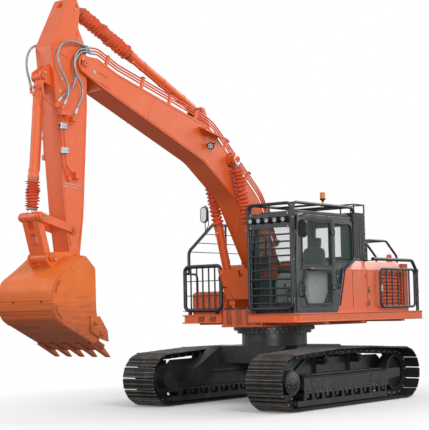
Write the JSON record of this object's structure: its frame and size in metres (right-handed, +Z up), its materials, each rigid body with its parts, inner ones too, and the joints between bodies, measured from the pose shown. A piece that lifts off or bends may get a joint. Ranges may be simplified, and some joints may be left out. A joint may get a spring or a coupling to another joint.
{
  "type": "crawler excavator",
  "caption": "Tracked excavator with a raised undercarriage, guarded cab, gooseneck boom, arm and toothed bucket, all jointed.",
  "frame": {"origin": "on the ground under the slewing axis, midway between the tracks", "axes": "+X forward over the boom, +Y to the cab side, +Z up"},
  "size_m": [8.7805, 3.41, 6.315],
  "materials": {
    "orange_paint": "semi-gloss",
    "black_paint": "satin",
    "track_steel": "rough, worn",
    "bare_steel": "machined, greased",
    "engine_iron": "matt",
    "glass": "tinted, polished",
    "chromed_rod": "polished",
    "sleeve_cloth": "matt, pleated",
    "seat_cloth": "woven",
    "black_plastic": "grained",
    "lamp_lens": "clear",
    "amber_lens": "clear amber",
    "hose_steel": "spiral guarded"
  },
  "bodies": {
    "undercarriage": {"carbody": "black_paint", "track_frames": "black_paint", "track_left": "track_steel", "track_right": "track_steel", "rollers": "black_paint", "final_drives": "black_paint", "slew_ring_lower": "bare_steel"},
    "upper": {"slew_ring_upper": "bare_steel", "main_frame": "orange_paint", "decks": "orange_paint", "counterweight": "orange_paint", "engine": "engine_iron", "side_panels": "orange_paint", "housing_roof": "orange_paint", "fuel_tank": "orange_paint", "tool_box": "orange_paint", "cab_shell": "orange_paint", "cab_glass": "glass", "roof_guard": "black_paint", "front_guard": "black_paint", "work_lamps": "lamp_lens", "cab_interior": "seat_cloth", "right_guards": "black_paint", "mirrors": "black_plastic", "beacon": "amber_lens", "filter_box": "black_paint", "rear_guards": "black_paint"},
    "cab_door": {"cab_door": "black_paint", "door_glass": "glass"},
    "hood": {"hood": "orange_paint"},
    "guard_door": {"guard_door": "black_paint"},
    "pump_door": {"pump_door": "orange_paint"},
    "boom": {"boom": "orange_paint", "boom_pipes": "black_paint", "hose_a": "hose_steel", "hose_b": "hose_steel", "hose_c": "hose_steel", "hose_e": "hose_steel"},
    "boom_cylinders": {"boom_barrels": "orange_paint", "cylinder_cover": "orange_paint"},
    "boom_rods": {"boom_rods": "chromed_rod", "boom_sleeves": "sleeve_cloth"},
    "arm": {"arm": "orange_paint", "arm_pipes": "black_paint", "hose_d": "hose_steel"},
    "arm_cylinder": {"arm_barrel": "orange_paint"},
    "arm_rod": {"arm_rod": "chromed_rod", "arm_sleeve": "sleeve_cloth"},
    "bucket_cylinder": {"bucket_barrel": "orange_paint"},
    "bucket_rod": {"bucket_rod": "chromed_rod", "bucket_sleeve": "sleeve_cloth"},
    "side_links": {"side_links": "orange_paint"},
    "h_link": {"h_link": "orange_paint"},
    "bucket": {"bucket": "orange_paint"}
  },
  "joints": [
    {"name": "slew", "type": "hinge", "parent": "undercarriage", "child": "upper", "pos_m": [0, 0, 1.267], "axis": [0, 0, 1], "continuous": true},
    {"name": "boom_lift", "type": "hinge", "parent": "upper", "child": "boom", "pos_m": [0.127, 0, 2.2], "axis": [0, -1, 0], "range_deg": [-50, 30]},
    {"name": "boom_cylinder_pivot", "type": "hinge", "parent": "upper", "child": "boom_cylinders", "pos_m": [0.73, 0, 1.75], "axis": [0, -1, 0], "range_deg": [-47.19, 28.33]},
    {"name": "boom_rod_slide", "type": "slide", "parent": "boom_cylinders", "child": "boom_rods", "axis": [0.2805, 0, 0.9599], "range_m": [-0.6137, 0.3686], "deforming": ["boom_sleeves"]},
    {"name": "arm_swing", "type": "hinge", "parent": "boom", "child": "arm", "pos_m": [4.87, 0, 5.334], "axis": [0, 1, 0], "range_deg": [-85, 23]},
    {"name": "arm_cylinder_pivot", "type": "hinge", "parent": "boom", "child": "arm_cylinder", "pos_m": [2.05, 0, 4.96], "axis": [0, 1, 0], "range_deg": [-0.51, 1.75]},
    {"name": "arm_rod_slide", "type": "slide", "parent": "arm_cylinder", "child": "arm_rod", "axis": [0.9162, 0, 0.4008], "range_m": [-1.131, 0.3068], "deforming": ["arm_sleeve"]},
    {"name": "bucket_curl", "type": "hinge", "parent": "arm", "child": "bucket", "pos_m": [5.073, 0, 2.448], "axis": [0, 1, 0], "range_deg": [-30, 120]},
    {"name": "bucket_cylinder_pivot", "type": "hinge", "parent": "arm", "child": "bucket_cylinder", "pos_m": [5.6, 0, 5.05], "axis": [0, 1, 0], "range_deg": [-2.13, 8.38]},
    {"name": "bucket_rod_slide", "type": "slide", "parent": "bucket_cylinder", "child": "bucket_rod", "axis": [0.0782, 0, -0.9969], "range_m": [-0.1882, 0.7497], "deforming": ["bucket_sleeve"]},
    {"name": "side_link_pivot", "type": "hinge", "parent": "arm", "child": "side_links", "pos_m": [5.11, 0, 2.85], "axis": [0, 1, 0], "range_deg": [-19.85, 79.27]},
    {"name": "h_link_pivot", "type": "hinge", "parent": "bucket", "child": "h_link", "pos_m": [5.58, 0, 2.43], "axis": [0, 1, 0], "range_deg": [-87.83, 22]},
    {"name": "cab_door_hinge", "type": "hinge", "parent": "upper", "child": "cab_door", "pos_m": [0.067, 1.38, 2.46], "axis": [0, 0, 1], "range_deg": [0, 165]},
    {"name": "hood_hinge", "type": "hinge", "parent": "upper", "child": "hood", "pos_m": [-0.972, 0, 2.494], "axis": [0, 1, 0], "range_deg": [0, 70]},
    {"name": "guard_door_hinge", "type": "hinge", "parent": "upper", "child": "guard_door", "pos_m": [-2.628, 1.4, 1.98], "axis": [0, 0, 1], "range_deg": [0, 100]},
    {"name": "pump_door_hinge", "type": "hinge", "parent": "upper", "child": "pump_door", "pos_m": [-1.252, -1.258, 1.95], "axis": [0, 0, 1], "range_deg": [0, 120]}
  ],
  "couplings": [
    {"joint": "boom_cylinder_pivot", "follows": "boom_lift", "ratio": 0.94281},
    {"joint": "boom_rod_slide", "follows": "boom_lift", "m_per_rad": 0.70209},
    {"joint": "arm_cylinder_pivot", "follows": "arm_swing", "ratio": -0.02},
    {"joint": "arm_rod_slide", "follows": "arm_swing", "m_per_rad": 0.76172},
    {"joint": "bucket_cylinder_pivot", "follows": "bucket_curl", "ratio": 0.06939},
    {"joint": "bucket_rod_slide", "follows": "bucket_curl", "m_per_rad": 0.35748},
    {"joint": "side_link_pivot", "follows": "bucket_curl", "ratio": 0.66013},
    {"joint": "h_link_pivot", "follows": "bucket_curl", "ratio": -0.7315}
  ]
}
